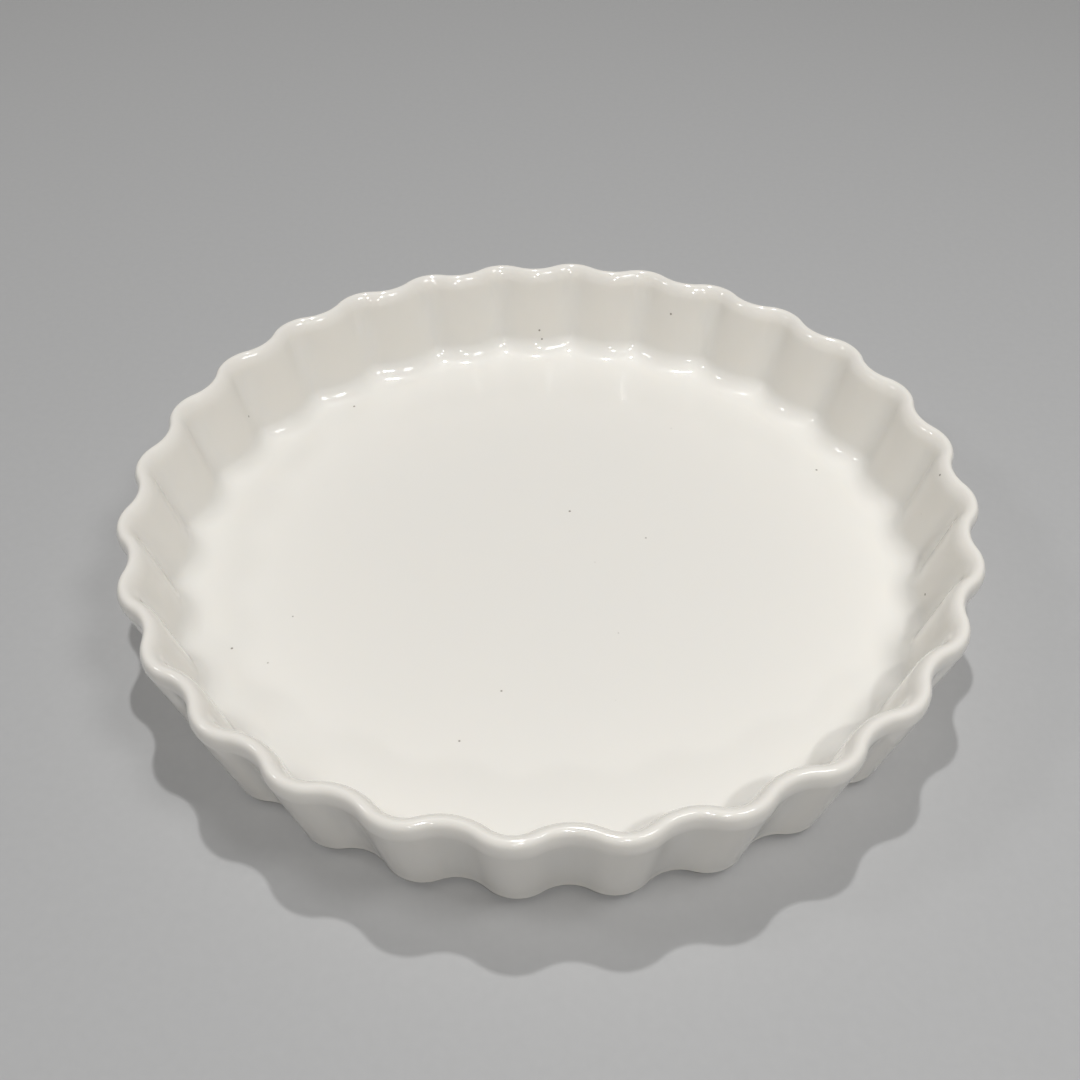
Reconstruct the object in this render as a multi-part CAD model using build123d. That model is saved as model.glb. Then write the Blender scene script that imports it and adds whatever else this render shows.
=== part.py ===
from build123d import *
import os
from math import atan2, cos, hypot, pi, radians, sin, sqrt, tan

# Round fluted quiche dish of glazed porcelain, standing on a bare foot ring.
# Lengths are in millimetres. +Z is up, and the origin is on the table, at the centre of the foot.
# One flute is a lobe that bulges outwards and the valley beside it. A lobe points along +X.
# The wall is one profile, a list of rings from the underside over the lip to the floor inside.

# Overall form
rim_diameter = 270.0        # across opposite lobes, at the widest level of the lip
dish_height = 40.0          # table to the top of the lip
wall_flare = radians(14.6)  # lean of the wall, outwards from upright
wall_thickness = 6.0        # measured level, through the wall
lip_rise = 5.6              # from the end of the straight wall to the crest, along the wall

# Flutes
flute_count = 28
rim_flute_depth = 4.0       # from lobe to valley on the outside, at the lip
base_flute_depth = 4.4      # the same, at the underside

# Floor and underside
floor_thickness = 5.4
floor_fillet = 5.2          # inside, where the wall runs into the floor
fillet_room_share = 0.9     # the most that the fillet takes of the room inside a lobe
base_bevel = 1.3            # outside, where the wall meets the underside

# Foot ring
foot_height = 2.0
foot_width = 5.0            # where it leaves the underside
foot_side_setback = 0.5     # each side slopes in by this much towards the table
foot_inset = 4.0            # from the valleys of the wall at the underside to the ring

# Flat bands that each round is drawn with
lip_outside_band_count = 2  # from the widest level of the lip to its crest
lip_inside_band_count = 3
fillet_band_count = 3

# What follows from these sizes
half_pitch = pi / flute_count
lip_half_width = wall_thickness * cos(wall_flare) / 2
lip_centre_level = dish_height - hypot(lip_rise * cos(wall_flare), lip_half_width * sin(wall_flare))
lip_centre_inset = wall_thickness / 2
lip_edge_inset = lip_centre_inset - hypot(lip_rise * sin(wall_flare), lip_half_width * cos(wall_flare))
widest_turn = atan2(lip_rise * sin(wall_flare), lip_half_width * cos(wall_flare))
crest_turn = atan2(lip_rise * cos(wall_flare), -lip_half_width * sin(wall_flare))
underside_level = foot_height
floor_level = underside_level + floor_thickness


def polar_point(radius, angle, level):
    """A point given by its distance from the dish's axis, its direction and its height."""
    return Vector(radius * cos(angle), radius * sin(angle), level)


def flute_depth(level):
    """Depth of the flutes at a level, between the depth at the underside and at the lip."""
    rise_share = (level - underside_level) / (lip_centre_level - underside_level)
    return base_flute_depth + (rim_flute_depth - base_flute_depth) * rise_share


def lobe_reach(level):
    """Distance from the axis to the top of a lobe on the outside of the wall at a level."""
    rim_middle = rim_diameter / 2 + lip_edge_inset - rim_flute_depth / 2
    middle = rim_middle - (lip_centre_level - level) * tan(wall_flare)
    return middle + flute_depth(level) / 2


def valley_reach(level):
    """Distance from the axis to the bottom of a valley on the outside of the wall at a level."""
    return lobe_reach(level) - flute_depth(level)


def flute_radius(level):
    """Radius in plan of the lobes and valleys, which are arcs of one size that meet smoothly.

    A lobe's centre lies this radius inside the lobe's top, and a valley's centre this radius
    outside the valley's bottom. The arcs touch where those two centres are two radii apart,
    which is a quadratic equation for the radius.
    """
    lobe = lobe_reach(level)
    valley = valley_reach(level)
    turn = cos(half_pitch)
    square_term = 2 * turn - 2
    linear_term = -2 * (lobe - valley) * (1 + turn)
    constant_term = lobe**2 + valley**2 - 2 * lobe * valley * turn
    root = sqrt(linear_term**2 - 4 * square_term * constant_term)
    return (-linear_term - root) / (2 * square_term)


def fluted_ring(flute_level, inset, level):
    """Closed outline of lobe and valley arcs.

    It has the wave that the outside of the wall has at flute_level, moved inwards by inset
    everywhere along the wave, and it lies at level.
    """
    radius = flute_radius(flute_level)
    lobe_centre_reach = lobe_reach(flute_level) - radius
    valley_centre_reach = valley_reach(flute_level) + radius

    def meeting_point(lobe_angle, valley_angle):
        lobe_centre = polar_point(lobe_centre_reach, lobe_angle, level)
        valley_centre = polar_point(valley_centre_reach, valley_angle, level)
        towards_valley = (valley_centre - lobe_centre).normalized()
        return lobe_centre + towards_valley * (radius - inset)

    arcs = []
    for flute in range(flute_count):
        lobe_angle = 2 * half_pitch * flute
        valley_angle = lobe_angle + half_pitch
        start = meeting_point(lobe_angle, lobe_angle - half_pitch)
        middle = meeting_point(lobe_angle, valley_angle)
        end = meeting_point(lobe_angle + 2 * half_pitch, valley_angle)
        lobe_top = polar_point(lobe_reach(flute_level) - inset, lobe_angle, level)
        valley_bottom = polar_point(valley_reach(flute_level) - inset, valley_angle, level)
        arcs.append(ThreePointArc(start, lobe_top, middle))
        arcs.append(ThreePointArc(middle, valley_bottom, end))
    return Wire(arcs)


def lip_ring(turn):
    """Ring on the lip, half an ellipse that stands on the end of the wall and leans with it.

    The turn goes from 0, where the lip leaves the outside of the wall, to half a turn inside.
    """
    across = lip_half_width * cos(turn)
    along = lip_rise * sin(turn)
    outwards = across * cos(wall_flare) + along * sin(wall_flare)
    upwards = along * cos(wall_flare) - across * sin(wall_flare)
    return fluted_ring(lip_centre_level, lip_centre_inset - outwards, lip_centre_level + upwards)


def fillet_radius():
    """Radius of the hollow fillet: the size asked for, or what narrow lobes leave room for."""
    room = (flute_radius(floor_level) - wall_thickness) / cos(wall_flare)
    return min(floor_fillet, fillet_room_share * room)


def fillet_ring(angle):
    """Ring on the hollow fillet inside, at an angle below level as seen from its centre."""
    radius = fillet_radius()
    centre_level = floor_level + radius
    top_level = centre_level - radius * sin(wall_flare)
    inset = wall_thickness + radius * (cos(wall_flare) - cos(angle))
    return fluted_ring(top_level, inset, centre_level - radius * sin(angle))


def steps(first, last, count):
    """Evenly spaced values from first to last, both included."""
    return [first + (last - first) * step / count for step in range(count + 1)]


def wall_rings():
    """The rings that the skin of the dish runs through, from the underside to the floor."""
    bevel_level = underside_level + base_bevel
    base = [
        fluted_ring(bevel_level, base_bevel, underside_level),
        fluted_ring(bevel_level, 0, bevel_level),
    ]
    over_the_lip = [0, *steps(widest_turn, crest_turn, lip_outside_band_count)]
    over_the_lip += steps(crest_turn, pi, lip_inside_band_count)[1:]
    into_the_floor = steps(wall_flare, pi / 2, fillet_band_count)
    return base + [lip_ring(a) for a in over_the_lip] + [fillet_ring(a) for a in into_the_floor]


def glazed_dish():
    """Floor, fluted wall and lip: one skin drawn through the rings, closed below and inside."""
    rings = wall_rings()
    skin = Shell.make_loft(rings, ruled=True)
    underside = Face(rings[0])
    floor = Face(rings[-1])
    return Solid(Shell([*skin.faces(), underside, floor]))


def bare_foot_ring():
    """Low ring under the dish, a turned section with sloping sides that narrows downwards."""
    outside = valley_reach(underside_level) - foot_inset
    inside = outside - foot_width
    section = Polyline(
        (inside, 0, foot_height),
        (outside, 0, foot_height),
        (outside - foot_side_setback, 0, 0),
        (inside + foot_side_setback, 0, 0),
        close=True,
    )
    return revolve(make_face(section), Axis.Z)


sub_parts = {
    "glazed_dish": glazed_dish(),
    "bare_foot_ring": bare_foot_ring(),
}

os.makedirs("parts", exist_ok=True)
for node, shape in sub_parts.items():
    export_step(shape, f"parts/{node}.step")
    box = shape.bounding_box()
    print(f"{node}: {box.size.X:.2f} x {box.size.Y:.2f} x {box.size.Z:.2f} mm, "
          f"volume {shape.volume / 1000:.1f} cm3")
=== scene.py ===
# %% [markdown]
# # A fluted quiche dish in white glazed porcelain
# This lesson dresses a round baking dish that comes in as two measured solids: the glazed dish, which
# is its floor, its fluted wall and its rounded lip, and the bare ring under it, which is what a glazed
# pot stands on in the kiln. The solids are drawn with flat bands, which is right for measuring and
# for physics. Here both are drawn again as smooth skins of the same size, in the same place, and each
# gets the finish of the real one. The model is loaded first, because the outer sizes are read from it.

# %% Load the measured model
import math

import bpy
import numpy as np
from mathutils import Matrix, Vector


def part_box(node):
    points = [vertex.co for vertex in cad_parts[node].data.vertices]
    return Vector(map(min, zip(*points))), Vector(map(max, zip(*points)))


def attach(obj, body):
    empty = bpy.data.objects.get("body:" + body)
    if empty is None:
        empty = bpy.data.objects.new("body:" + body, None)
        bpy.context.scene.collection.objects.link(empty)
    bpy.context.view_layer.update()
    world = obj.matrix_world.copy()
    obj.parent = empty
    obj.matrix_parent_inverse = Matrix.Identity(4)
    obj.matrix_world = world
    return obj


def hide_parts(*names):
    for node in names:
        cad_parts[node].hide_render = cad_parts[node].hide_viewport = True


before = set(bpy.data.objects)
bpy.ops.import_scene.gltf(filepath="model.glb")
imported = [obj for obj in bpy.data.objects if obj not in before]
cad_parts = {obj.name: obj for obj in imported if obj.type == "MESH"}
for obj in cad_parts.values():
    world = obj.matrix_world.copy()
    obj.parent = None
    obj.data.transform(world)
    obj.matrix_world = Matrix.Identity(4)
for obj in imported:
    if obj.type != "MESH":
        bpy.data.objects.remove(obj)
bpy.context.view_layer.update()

# %% [markdown]
# ## The sizes
# The outer sizes are read from the loaded solids. The rest are the dish's own few dimensions, in
# metres, the same ones that its maker would put on a drawing. One flute is a lobe, which bulges
# outwards, and the valley beside it.

# %% Sizes of the dish
MM = 0.001
dish_low, dish_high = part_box("glazed_dish")
foot_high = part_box("bare_foot_ring")[1]

rim_radius = dish_high.x            # to the top of a lobe, at the lip
lip_top = dish_high.z
underside = dish_low.z
wall_flare = math.radians(14.6)     # how far the wall leans out from upright
wall_thickness = 6.0 * MM           # measured level, through the wall
flute_count = 28
rim_flute_depth = 4.0 * MM          # from lobe to valley
base_flute_depth = 4.4 * MM
floor_thickness = 5.4 * MM
floor_level = underside + floor_thickness
fillet_radius = 9.0 * MM            # the hollow inside, where the wall runs into the floor
base_edge = 1.4 * MM                # the round outside, from wall to underside

foot_width = 5.0 * MM               # where it leaves the underside
foot_outer = foot_high.x
foot_inner = foot_outer - foot_width
foot_setback = 0.5 * MM             # each side of the foot slopes in by this much
foot_edge = 0.7 * MM                # its worn lower edges

half_pitch = math.pi / flute_count
lean, upright = math.sin(wall_flare), math.cos(wall_flare)
lip_half = wall_thickness * upright / 2     # half of the wall's true thickness
lip_rise = 5.6 * MM                         # from the wall's end to the crest, along the wall
lip_centre = lip_top - math.hypot(lip_rise * upright, lip_half * lean)
print("rim radius, mm:", round(rim_radius / MM, 2), " flute pitch, mm:",
      round(2 * half_pitch * rim_radius / MM, 1), " lip centre, mm:", round(lip_centre / MM, 2))

# %% [markdown]
# ## The wave of the wall
# Seen from above, the wall is a wave of round lobes and round valleys. A sine wave could be bent
# round a circle, but pressed porcelain is made in a mould that is turned and milled, and its flutes
# are arcs that run into each other without a kink. Two arcs of one radius do that where their centres
# are two radii apart. The inside of the wall is the same wave, moved inwards by the wall's thickness,
# which makes the lobes tighter and the valleys wider.

# %% The wave, as arcs that meet smoothly
columns_per_arc = 13


def reaches(level):
    """How far the lobes and the valleys of the outside reach from the axis, at each level.

    The line midway between them leans with the wall: below the lip's centre it comes in by the
    tangent of the flare times the drop. The flute depth runs evenly from the underside to the lip.
    """
    lip_edge = wall_thickness / 2 - math.hypot(lip_half * upright, lip_rise * lean)
    rise = (level - underside) / (lip_centre - underside)
    depth = base_flute_depth + (rim_flute_depth - base_flute_depth) * rise
    middle = rim_radius + lip_edge - rim_flute_depth / 2 - (lip_centre - level) * math.tan(wall_flare)
    return middle + depth / 2, middle - depth / 2


def fluted_rings(inset, level, flute_level):
    """Rings of points, one for each row of the three columns of numbers that come in.

    With lobe reach a, valley reach b and half a pitch h, the arc radius r solves
    (2 cos h - 2) r^2 - 2 (a - b) (1 + cos h) r + a^2 + b^2 - 2 a b cos h = 0.
    A lobe is r - inset about the point a - r out, and a valley is r + inset about the point b + r out.
    """
    lobe, valley = reaches(flute_level[:, None])
    turn = math.cos(half_pitch)
    square, linear = 2 * turn - 2, -2 * (lobe - valley) * (1 + turn)
    constant = lobe**2 + valley**2 - 2 * lobe * valley * turn
    radius = (-linear - np.sqrt(linear**2 - 4 * square * constant)) / (2 * square)
    lobe_centre, valley_centre = lobe - radius, valley + radius
    sweep = np.arctan2(valley_centre * math.sin(half_pitch), valley_centre * turn - lobe_centre)

    along = np.linspace(-1, 1, columns_per_arc, endpoint=False)[None, :]
    inset = inset[:, None]
    lobe_x = lobe_centre + (radius - inset) * np.cos(sweep * along)
    lobe_y = (radius - inset) * np.sin(sweep * along)
    out = valley_centre - (radius + inset) * np.cos((sweep - half_pitch) * along)
    side = (radius + inset) * np.sin((sweep - half_pitch) * along)
    valley_x = out * turn - side * math.sin(half_pitch)
    valley_y = out * math.sin(half_pitch) + side * turn

    one_flute = np.concatenate([lobe_x + 1j * lobe_y, valley_x + 1j * valley_y], axis=1)
    turns = np.exp(2j * half_pitch * np.arange(flute_count))
    ring = (one_flute[:, None, :] * turns[None, :, None]).reshape(len(level), -1)
    return np.stack([ring.real, ring.imag, np.broadcast_to(level[:, None], ring.shape)], axis=2)


columns = 2 * columns_per_arc * flute_count
trial = fluted_rings(np.zeros(1), np.array([lip_centre]), np.array([lip_centre]))
print("columns:", columns, " reach of the wave, mm:",
      np.round(np.hypot(trial[..., 0], trial[..., 1]).min() / MM, 2),
      np.round(np.hypot(trial[..., 0], trial[..., 1]).max() / MM, 2))

# %% [markdown]
# ## The profile
# A potter's profile is the line that a knife would cut through the wall. It starts under the dish,
# runs round the edge, up the wall, over the lip, down inside, round the hollow fillet and in across
# the floor. Each stretch below adds rows to it. A row says how far its ring lies inside the outer
# wave, how high it is, and which level's wave it has. A ring that only moves inwards along the
# wave would close up in the narrow lobes, so a row can also be drawn in, which moves every point of
# it towards the axis and keeps the wave. Near the middle of the dish the flutes die out, so a row can
# be a plain circle as well, or something between the two.

# %% Rows of the profile
def rows(level, inset=0.0, wave_level=None, roundness=0.0, radius=0.0, drawn_in=0.0):
    """Rows that hold inset, level, wave level, roundness, circle radius and draw, as six columns.

    A roundness of 0 is the wave and 1 is the circle. The wave is the one at the row's own level, unless
    another is named.
    """
    wave_level = level if wave_level is None else wave_level
    parts = np.broadcast_arrays(inset, level, wave_level, roundness, radius, drawn_in)
    return np.column_stack([part.ravel() for part in parts])


def arc(start, stop, count):
    """Angles in radians, evenly spaced from start to stop in degrees."""
    return np.radians(np.linspace(start, stop, count))


def foot_glaze(side, outward):
    """The glaze that creeps from the underside onto a side of the foot: a hollow, then its thin edge.

    The hollow is a quarter circle about a point that is one cove radius off the foot and as far below
    the underside. The edge is half an ellipse as thick as the glaze, and it ends inside the foot. It
    starts one step on, because the hollow's last row is already there.
    """
    hollow, edge = arc(90, 180, 7), arc(0, -180, 7)[1:]
    radius = np.append(side + outward * cove_radius * (1 + np.cos(hollow)),
                       side - outward * glaze_edge * (1 - np.cos(edge)) / 2)
    level = np.append(cove_radius * np.sin(hollow), glaze_edge * np.sin(edge)) + underside - cove_radius
    return rows(level, roundness=1.0, radius=radius)


cove_radius = 0.8 * MM
glaze_edge = 0.3 * MM
foot_rows = np.vstack([foot_glaze(foot_inner, -1), foot_glaze(foot_outer, 1)[::-1]])
print("rows of glaze about the foot:", len(foot_rows))

# %% [markdown]
# The stretches are now put in order. The lip is half an ellipse that stands on the end of the wall, as
# wide as the wall and nearly as high, because the clay is thinned and sponged there by hand. It leaves
# both faces of the wall without an edge. The fillet takes over from the wall where its circle has the
# same slope, so no edge shows there either. It is drawn wider than in the solid, whose rings can only
# move in along the wave, and whose fillet has to end before the narrow lobes close up.

# %% The whole profile, from the middle below to the middle inside
def lip_rows(turn):
    """Rows over the lip, where turn goes from 0 on the outside to half a turn on the inside.

    Along the wall's own directions, outwards and up, the ellipse is half (cos turn) across and rise
    (sin turn) along. Those directions lean with the wall.
    """
    across, along = lip_half * np.cos(turn), lip_rise * np.sin(turn)
    outwards, upwards = across * upright + along * lean, along * upright - across * lean
    return rows(lip_centre + upwards, wall_thickness / 2 - outwards, lip_centre)


def fillet_rows(turn):
    """Rows of the fillet, where turn goes from where the wall is tangent to a quarter turn, on the floor.

    The section is a circle: it runs in by radius (cos first turn - cos turn), and lies
    radius (1 - sin turn) above the floor. The flutes die away as the square of the way gone.
    """
    way = fillet_radius * (math.cos(turn[0]) - np.cos(turn))
    level = floor_level + fillet_radius * (1 - np.sin(turn))
    fade = fillet_fade * (way / way[-1])**2
    return rows(level, wall_thickness, level[0], fade, inner_valley - way, way)


fillet_top = floor_level + fillet_radius * (1 - math.sin(wall_flare))
fillet_fade = 0.75
inner_valley = reaches(fillet_top)[1] - wall_thickness

base_top = underside + base_edge
wall_top, wall_bottom = lip_centre - lip_half * lean, lip_centre + lip_half * lean
round_edge = arc(-90, 0, 8)
underside_share = np.linspace(0.1, 0.97, 7)     # from the middle out to the foot
foot_fade = np.array([0.66, 0.33])              # from the round foot out to the wave of the wall
floor_share = np.linspace(1, 0, 14)[1:-1]
fillet = fillet_rows(np.linspace(wall_flare, math.pi / 2, 19))
last_reach, last_draw = fillet[-1, 4:]

stretches = {
    "underside": rows(underside, roundness=1.0, radius=underside_share * (foot_inner - cove_radius)),
    "foot glaze": foot_rows,
    "outside the foot": rows(underside, base_edge, base_top, foot_fade, foot_outer + cove_radius),
    "base edge": rows(base_top + base_edge * np.sin(round_edge), base_edge * (1 - np.cos(round_edge)),
                      base_top),
    "outer wall": rows(np.linspace(base_top, wall_top, 10)[1:-1]),
    "lip": lip_rows(np.linspace(0, math.pi, 33)),
    "inner wall": rows(np.linspace(wall_bottom, fillet_top, 14)[1:-1], wall_thickness),
    "fillet": fillet,
    "floor": rows(floor_level, wall_thickness, fillet_top, 1 - (1 - fillet_fade) * floor_share**2,
                  floor_share * last_reach, last_draw + (1 - floor_share) * last_reach),
}
profile = np.vstack(list(stretches.values()))
print("rows:", {name: len(stretch) for name, stretch in stretches.items()}, "in all", len(profile))

# %% [markdown]
# ## From rings to a closed skin
# A grid of rings becomes a mesh by joining each point to its neighbours with a four-sided face. The
# last column joins the first, so there is no seam. At the middle of the dish, above and below, a fan
# of triangles runs to one point. The corners of every face go round anticlockwise as seen from
# outside, which is what tells Blender which side is out. The volume of the skin, added up from its
# triangles, shows whether that came out right: it is positive only if the faces look outwards.

# %% A mesh from rings
def skin(name, rings, bottom=None, top=None):
    """A mesh object through rings of points, each closed on itself.

    With bottom and top it ends in a fan to each of them. Without them, the last ring joins the first.
    """
    count, around = rings.shape[:2]
    ring = np.arange(count if bottom is None else count - 1)[:, None]
    column = np.arange(around)[None, :]
    beside, above = (column + 1) % around, (ring + 1) % count
    quads = np.stack([ring * around + column, ring * around + beside,
                      above * around + beside, above * around + column], axis=2).reshape(-1, 4)
    points, fans = rings.reshape(-1, 3), np.zeros((0, 3), int)
    if bottom is not None:
        here, there = np.arange(around), (np.arange(around) + 1) % around
        last = (count - 1) * around
        low_fan = np.column_stack([np.full(around, len(points)), there, here])
        high_fan = np.column_stack([last + here, last + there, np.full(around, len(points) + 1)])
        points, fans = np.vstack([points, bottom, top]), np.vstack([low_fan, high_fan])
    mesh = bpy.data.meshes.new(name)
    mesh.from_pydata(points.tolist(), [], quads.tolist() + fans.tolist())
    mesh.polygons.foreach_set("use_smooth", np.ones(len(mesh.polygons), bool))
    piece = bpy.data.objects.new(name, mesh)
    bpy.context.scene.collection.objects.link(piece)
    triangles = np.vstack([quads[:, [0, 1, 2]], quads[:, [0, 2, 3]], fans])
    a, b, c = (points[triangles[:, corner]] for corner in range(3))
    volume = np.einsum("ij,ij->i", a, np.cross(b, c)).sum() / 6
    print(name, "triangles:", len(triangles), " volume, cm3:", round(volume * 1e6, 1))
    return piece


def mark(piece, name, values):
    """Keeps one number for each point of a piece, for its finish to read."""
    piece.data.attributes.new(name, "FLOAT", "POINT").data.foreach_set("value", values.ravel())


# %% [markdown]
# The inside of a real dish is softer than its outside, because the glaze fills the narrow lobes and
# the sponge rounds them. So the rings inside are smoothed along the wave, not at all at the lip and
# fully at the fillet. Each point moves to the mean of its neighbours on both sides, and the near ones
# count the most.

# %% The glazed dish
def softened(rings, softness, reach=7):
    """The rings, smoothed along the wave by a share from 0 to 1 for each ring.

    A neighbour that is k columns away weighs 1 + cos(pi k / (reach + 1)), the shape of a bell.
    """
    steps = np.arange(-reach, reach + 1)
    weights = 1 + np.cos(math.pi * steps / (reach + 1))
    mean = sum(weight * np.roll(rings, step, axis=1) for step, weight in zip(steps, weights)) / weights.sum()
    return rings + softness[:, None] * (mean - rings)


inset, level, wave_level, roundness, circle, drawn_in = profile.T
wave = fluted_rings(inset, level, wave_level)
flat = wave[..., 0] + 1j * wave[..., 1]
direction = np.exp(1j * np.angle(flat))
flat = (1 - roundness[:, None]) * (flat - drawn_in[:, None] * direction)
flat = flat + (roundness * circle)[:, None] * direction
softness = {"inner wall": np.linspace(0, 1, len(stretches["inner wall"])), "fillet": 1.0, "floor": 1.0}
flat = softened(flat, np.concatenate([np.zeros(len(stretch)) + softness.get(name, 0.0)
                                      for name, stretch in stretches.items()]))
dish_rings = np.stack([flat.real, flat.imag, wave[..., 2]], axis=2)
dish = skin("glazed_dish_skin", dish_rings, bottom=[0, 0, underside], top=[0, 0, floor_level])

# %% [markdown]
# ## Where the glaze is thin and where it gathers
# Glaze melts in the kiln. It draws back from the lip and the crests of the flutes, and gathers in
# hollows and in the corner between wall and floor. That shows in its colour, so each point of the
# skin is marked with how thick the glaze is there, from 0 on a crest to 1 in a pool.

# %% Mark the thickness of the glaze
stretch_glaze = {"underside": 0.4, "foot glaze": 0.7, "outside the foot": 0.4, "base edge": 0.25,
                 "outer wall": 0.45, "lip": 0.0, "inner wall": 0.5, "fillet": 1.0, "floor": 0.6}
crest_pull = {"outer wall": -0.25, "inner wall": 0.25, "fillet": 0.2}
along_profile = np.concatenate([np.full(len(stretch), stretch_glaze[name])
                                for name, stretch in stretches.items()])
rows_beside = 5         # a row's glaze is mixed with that of the rows nearer to it than this
mixing = np.hanning(2 * rows_beside + 1)
mixing = mixing / mixing.sum()
along_profile = np.convolve(np.pad(along_profile, rows_beside, mode="edge"), mixing, mode="valid")
pull = np.concatenate([np.full(len(stretch), crest_pull.get(name, 0.0))
                       for name, stretch in stretches.items()])
reach = np.abs(flat)
lobeness = (reach - reach.min(axis=1, keepdims=True)) / (np.ptp(reach, axis=1)[:, None] + MM / 100)
thickness = np.clip(along_profile[:, None] + pull[:, None] * (2 * lobeness - 1), 0, 1)
ends = [stretch_glaze["underside"], stretch_glaze["floor"]]
mark(dish, "glaze_thickness", np.append(thickness.ravel(), ends))
print("glaze, thinnest and thickest:", thickness.min().round(2), thickness.max().round(2))

# %% [markdown]
# ## The foot ring
# The foot is a low ring whose section is a trapezium with worn lower corners. Carried once round the
# axis it is a closed ring with no ends.

# %% The bare foot ring
def foot_section():
    """The section as complex numbers, radius + i times level, anticlockwise from its inner corner.

    A corner's round has its centre one edge radius above the table. It touches the sloping side where
    the centre lies in by edge (sqrt(1 + slope^2) - slope), and turns from straight down to the side.
    """
    slope = foot_setback / underside
    side_turn = math.degrees(math.atan(slope))
    inwards = foot_edge * (math.sqrt(1 + slope**2) - slope)
    outer_centre = foot_outer - foot_setback - inwards + 1j * foot_edge
    inner_centre = foot_inner + foot_setback + inwards + 1j * foot_edge
    outer_corner = outer_centre + foot_edge * np.exp(1j * arc(-90, -side_turn, 8))
    inner_corner = inner_centre + foot_edge * np.exp(1j * arc(180 + side_turn, 270, 8))
    top = np.linspace(foot_outer, foot_inner, 6) + 1j * underside
    return np.concatenate([outer_corner, top, inner_corner])


foot_columns = 480
section = foot_section()
around = np.exp(1j * np.linspace(0, 2 * math.pi, foot_columns, endpoint=False))
foot_flat = section.real[:, None] * around[None, :]
foot_level = np.broadcast_to(section.imag[:, None], foot_flat.shape)
foot = skin("bare_foot_ring_skin", np.stack([foot_flat.real, foot_flat.imag, foot_level], axis=2))

# %% [markdown]
# ## Writing finishes as sums
# A finish in Blender is a web of nodes, and a web made of sums is hard to read. The class below holds
# one output of one node and lets it be added, subtracted and multiplied like a number, and each sign
# adds the Math nodes that it needs. Every kind of node comes from one method, which sets the node's
# settings first and then fills its sockets with values or links.

# %% Node outputs that can be used in sums
class Signal:
    """One output of a node, such as a number or a colour that varies over a surface."""

    def __init__(self, finish, socket):
        self.finish, self.socket = finish, socket

    def math(self, operation, *others):
        values = dict(enumerate((self, *others)))
        return self.finish.node("ShaderNodeMath", {"operation": operation}, values)

    def __add__(self, other):
        return self.math("ADD", other)

    def __mul__(self, other):
        return self.math("MULTIPLY", other)

    def __sub__(self, other):
        return self.math("SUBTRACT", other)

    def __rsub__(self, other):
        return self * -1 + other

    __radd__, __rmul__ = __add__, __mul__

    def ramp(self, start, stop):
        """0 up to start and 1 from stop on, with a soft S between. Start may be the higher one."""
        ranges = {"From Min": start, "From Max": stop, "Value": self}
        return self.finish.node("ShaderNodeMapRange", {"interpolation_type": "SMOOTHSTEP"}, ranges)


class Finish:
    """A material, or the world, while its web of nodes is being made."""

    def __init__(self, holder):
        holder.use_nodes = True
        self.holder, self.tree = holder, holder.node_tree
        self.tree.nodes.clear()

    def node(self, kind, settings=None, sockets=None, output=0):
        """Adds a node, sets its settings, fills its sockets and returns an output, if it has any."""
        made = self.tree.nodes.new(kind)
        for name, value in (settings or {}).items():
            setattr(made, name, value)
        for name, value in (sockets or {}).items():
            if isinstance(value, Signal):
                self.tree.links.new(value.socket, made.inputs[name])
            else:
                made.inputs[name].default_value = value
        return Signal(self, made.outputs[output]) if made.outputs else None

    def place(self):
        """The place on the piece, in metres."""
        return self.node("ShaderNodeTexCoord", output="Object")

    def noise(self, grain, detail, roughness=0.5):
        """Cloudy noise from 0 to 1 whose blots are about as wide as grain, in metres."""
        values = {"Vector": self.place(), "Scale": 1 / grain, "Detail": detail, "Roughness": roughness}
        return self.node("ShaderNodeTexNoise", sockets=values)

    def blend(self, amount, first, second):
        """Colour that goes from first to second as amount goes from 0 to 1."""
        values = {0: amount, 6: first, 7: second}
        return self.node("ShaderNodeMix", {"data_type": "RGBA"}, values, output=2)

    def bump(self, height, relief):
        """Normals of a surface that rises by relief metres where height is 1."""
        values = {"Height": height, "Distance": relief, "Strength": 1.0}
        return self.node("ShaderNodeBump", sockets=values)

    def surface(self, sockets):
        """Ends the web in a Principled shader with these sockets, and returns the finished material."""
        shader = self.node("ShaderNodeBsdfPrincipled", sockets=sockets)
        self.node("ShaderNodeOutputMaterial", sockets={"Surface": shader})
        return self.holder


def colour(red, green, blue):
    """A colour with full alpha."""
    return (red, green, blue, 1.0)


# %% [markdown]
# ## The glaze
# The glaze is a layer of clear glass over white clay. The clay gives the colour, soft and without
# shine, and the glass gives the mirror on top. Principled's coat is just such a layer, so the coat is
# the glass and the base is the clay under it. The clay lets light in a little way, so light creeps
# round the lip. Where the glaze has gathered it looks a shade cooler and duller, and where it has
# drawn thin the warm clay shows through. Fired glaze is never quite flat: it has long waves and a
# faint orange peel, and here and there a speck of iron.

# %% The finish of the glazed dish
thin_glaze, thick_glaze = colour(0.93, 0.895, 0.83), colour(0.90, 0.88, 0.83)
iron = colour(0.20, 0.16, 0.12)
speck_spacing = 15 * MM
speck_edge, speck_core = 0.57 * MM, 0.24 * MM       # radius of a speck, and of its dark middle


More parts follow.
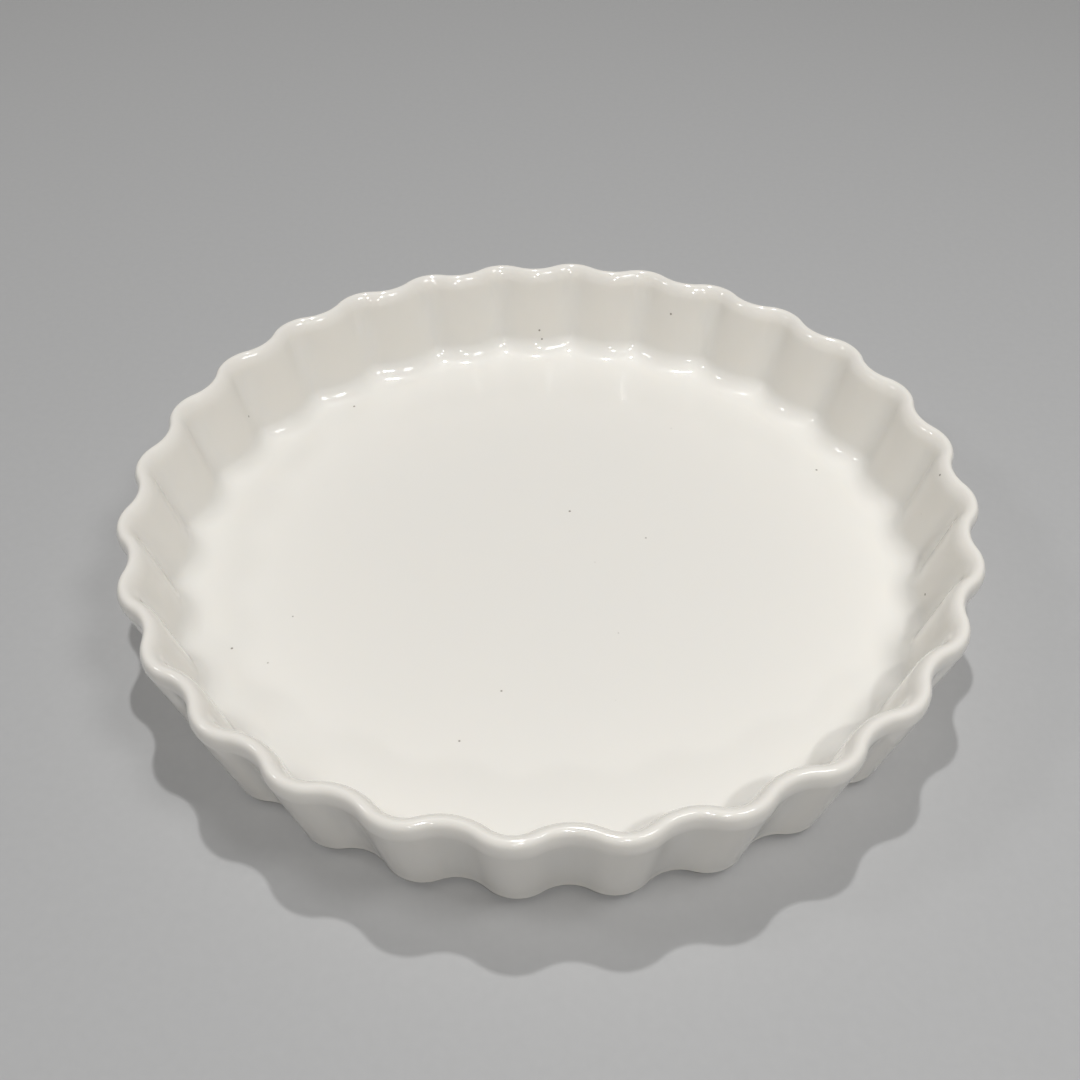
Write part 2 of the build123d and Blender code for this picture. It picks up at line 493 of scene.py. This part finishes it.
def glaze_finish():
    finish = Finish(bpy.data.materials.new("white_glaze"))
    thickness = finish.node("ShaderNodeAttribute", {"attribute_name": "glaze_thickness"}, output="Fac")
    clouds = finish.noise(0.045, detail=3.0)
    smears = finish.noise(0.012, detail=4.0, roughness=0.6)

    depth = thickness + (clouds - 0.5) * 0.5
    white = finish.blend(depth.ramp(0.0, 1.1), thin_glaze, thick_glaze)
    spots = {"Vector": finish.place(), "Scale": 1 / speck_spacing}
    nearest = finish.node("ShaderNodeTexVoronoi", sockets=spots)
    speck = nearest.ramp(speck_edge / speck_spacing, speck_core / speck_spacing)
    white = finish.blend(speck * 0.85, white, iron)

    long_waves = finish.noise(0.022, detail=1.0)
    peel = finish.noise(0.0025, detail=1.0)
    return finish.surface({
        "Base Color": white,
        "Roughness": 0.34 + smears * 0.14,
        "Specular IOR Level": 0.25,
        "Subsurface Weight": 0.12,
        "Subsurface Radius": (0.9, 0.8, 0.65),
        "Subsurface Scale": 0.0015,
        "Coat Weight": 1.0 - speck * 0.6,
        "Coat Roughness": 0.08,
        "Coat IOR": 1.5,
        "Normal": finish.bump(long_waves + peel * 0.02, 0.04 * MM),
    })


dish.data.materials.append(glaze_finish())
print("nodes in the glaze:", len(dish.data.materials[0].node_tree.nodes))

# %% [markdown]
# ## The bare foot
# The foot is the same clay with no glaze on it, so that it doesn't weld itself to the kiln shelf. It
# is dry and finely grained, a little creamier than the glazed part, and greyed where it has slid on
# tables and oven shelves.

# %% The finish of the foot ring
def bare_finish():
    finish = Finish(bpy.data.materials.new("bare_porcelain"))
    grain = finish.noise(0.0004, detail=3.0, roughness=0.7)
    clouds = finish.noise(0.02, detail=3.0)
    up = finish.node("ShaderNodeSeparateXYZ", sockets={"Vector": finish.place()}, output="Z")
    scuff = up.ramp(0.4 * MM, 0.05 * MM) * clouds.ramp(0.42, 0.62)
    clay = finish.blend(grain, colour(0.78, 0.745, 0.69), colour(0.85, 0.82, 0.77))
    clay = finish.blend(scuff * 0.55, clay, colour(0.50, 0.485, 0.46))
    return finish.surface({
        "Base Color": clay,
        "Roughness": 0.82 + grain * 0.12 - scuff * 0.2,
        "Specular IOR Level": 0.35,
        "Normal": finish.bump(grain, 0.04 * MM),
    })


foot.data.materials.append(bare_finish())
print("nodes in the bare clay:", len(foot.data.materials[0].node_tree.nodes))

# %% [markdown]
# ## Standing for the solids
# Each skin takes the place of the solid that it was drawn after, and stays where that solid is. The
# dish has no moving part, so both ride on its one body.

# %% Tie the skins to the measured model
for piece, node, slot in ((dish, "glazed_dish", "white_glaze"), (foot, "bare_foot_ring", "bare_porcelain")):
    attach(piece, "root")
    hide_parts(node)
    print(piece.name, "stands for", node)

# %% [markdown]
# ## The table
# The dish stands on a plain pale table, a light grey that is clearly darker than the glaze, so that
# the white edge of the dish is easy to see against it.

# %% A plain pale table
def table_finish():
    finish = Finish(bpy.data.materials.new("pale_table"))
    grey = finish.blend(finish.noise(0.003, detail=3.0), colour(0.50, 0.50, 0.50), colour(0.53, 0.53, 0.53))
    return finish.surface({"Base Color": grey, "Roughness": 0.75, "Specular IOR Level": 0.3})


table_radius = 6.0
table_sides = 96
edge = table_radius * np.exp(1j * np.linspace(0, 2 * math.pi, table_sides, endpoint=False))
table_mesh = bpy.data.meshes.new("table")
table_mesh.from_pydata(np.column_stack([edge.real, edge.imag, np.zeros(len(edge))]).tolist(), [],
                       [list(range(len(edge)))])
table = bpy.data.objects.new("table", table_mesh)
bpy.context.scene.collection.objects.link(table)
table.data.materials.append(table_finish())
print("table, metres across:", 2 * table_radius)

# %% [markdown]
# ## Light
# The level of the light is chosen so that a colour looks about as it is written. For a lamp that is
# worked out as follows. A small disc of power P sends P / pi^2 d^2 of white's brightness to a surface
# that faces it at distance d, and less by the sine of the lamp's height above the horizon if the
# surface lies flat. So each lamp below is named by the share of full white that it gives the dish's
# floor. Three small lamps hang in a row over the dish, from just behind it to low in front. Each of
# them glints once on every bend of the glaze, which makes the dots that go down the hollow of each
# flute, and the middle one throws the shadow of the front lip onto the floor. A wide lamp close by on
# the right makes that side of the floor the brightest. The one on the left is weak, and the sky fills
# the rest.

# %% Lamps that are named by their share of white
camera_heading = math.radians(4.68)     # anticlockwise from +Y, seen from above


def lamp(name, share, width, distance, azimuth, height):
    """A disc lamp aimed at the dish, its width and distance in metres and its two angles in degrees.

    Azimuth 0 is behind the dish as the camera sees it, 90 on its left and 180 in front of it.
    """
    turned, height = camera_heading + math.radians(azimuth), math.radians(height)
    level_part = math.cos(height)
    towards = Vector((-math.sin(turned) * level_part, math.cos(turned) * level_part, math.sin(height)))
    light = bpy.data.lights.new(name, "AREA")
    light.shape, light.size = "DISK", width
    light.energy = share * math.pi**2 * distance**2 / math.sin(height)
    holder = bpy.data.objects.new(name, light)
    aim = towards.to_track_quat("Z", "Y").to_matrix().to_4x4()
    holder.matrix_world = Matrix.Translation(towards * distance) @ aim
    bpy.context.scene.collection.objects.link(holder)
    print(name, "watts:", round(light.energy, 2))


lamp("key_lamp", 0.30, 0.07, 1.8, 0, 77)
lamp("middle_lamp", 0.18, 0.09, 1.8, -169, 56)
lamp("low_lamp", 0.03, 0.08, 1.8, 180, 37)
lamp("wide_lamp", 0.16, 0.22, 0.8, -125, 62)
lamp("left_lamp", 0.05, 0.3, 1.8, 90, 45)

sky = Finish(bpy.data.worlds.new("studio"))
rays = [f"Is {kind} Ray" for kind in ("Camera", "Glossy", "Transmission")]
by_eye, in_gloss, through_glass = (sky.node("ShaderNodeLightPath", output=ray) for ray in rays)
seen_at_all = by_eye.math("MAXIMUM", in_gloss).math("MAXIMUM", through_glass)
fill = sky.node("ShaderNodeBackground", sockets={"Color": colour(1.0, 1.0, 1.0), "Strength": 0.06})
backdrop = sky.node("ShaderNodeBackground", sockets={"Color": colour(0.88, 0.84, 0.78), "Strength": 1.0})
sky.node("ShaderNodeOutputWorld", sockets={"Surface": sky.node(
    "ShaderNodeMixShader", sockets={0: seen_at_all, 1: fill, 2: backdrop})})
bpy.context.scene.world = sky.holder

# %% [markdown]
# ## The camera
# The camera stands where the picture was taken from. Its place, its tilt and its focal length come
# from fitting the dish's own outline to the picture, flute by flute.

# %% The camera
camera_place = Vector((20.70, -288.54, 285.53)) * MM
camera_pitch = math.radians(43.26)     # below level
camera_roll = math.radians(-0.351)
camera_data = bpy.data.cameras.new("camera")
camera_data.sensor_width = 36.0
camera_data.lens = 39.63
camera_data.clip_start = 0.01
camera = bpy.data.objects.new("camera", camera_data)
heading = Matrix.Rotation(camera_heading, 4, "Z")
tilt = Matrix.Rotation(math.pi / 2 - camera_pitch, 4, "X")
camera.matrix_world = Matrix.Translation(camera_place) @ heading @ tilt @ Matrix.Rotation(camera_roll, 4, "Z")
bpy.context.scene.collection.objects.link(camera)
bpy.context.scene.camera = camera
bpy.context.scene.view_settings.view_transform = "Standard"
print("camera, mm from the middle of the foot:", round(camera_place.length / MM, 1))
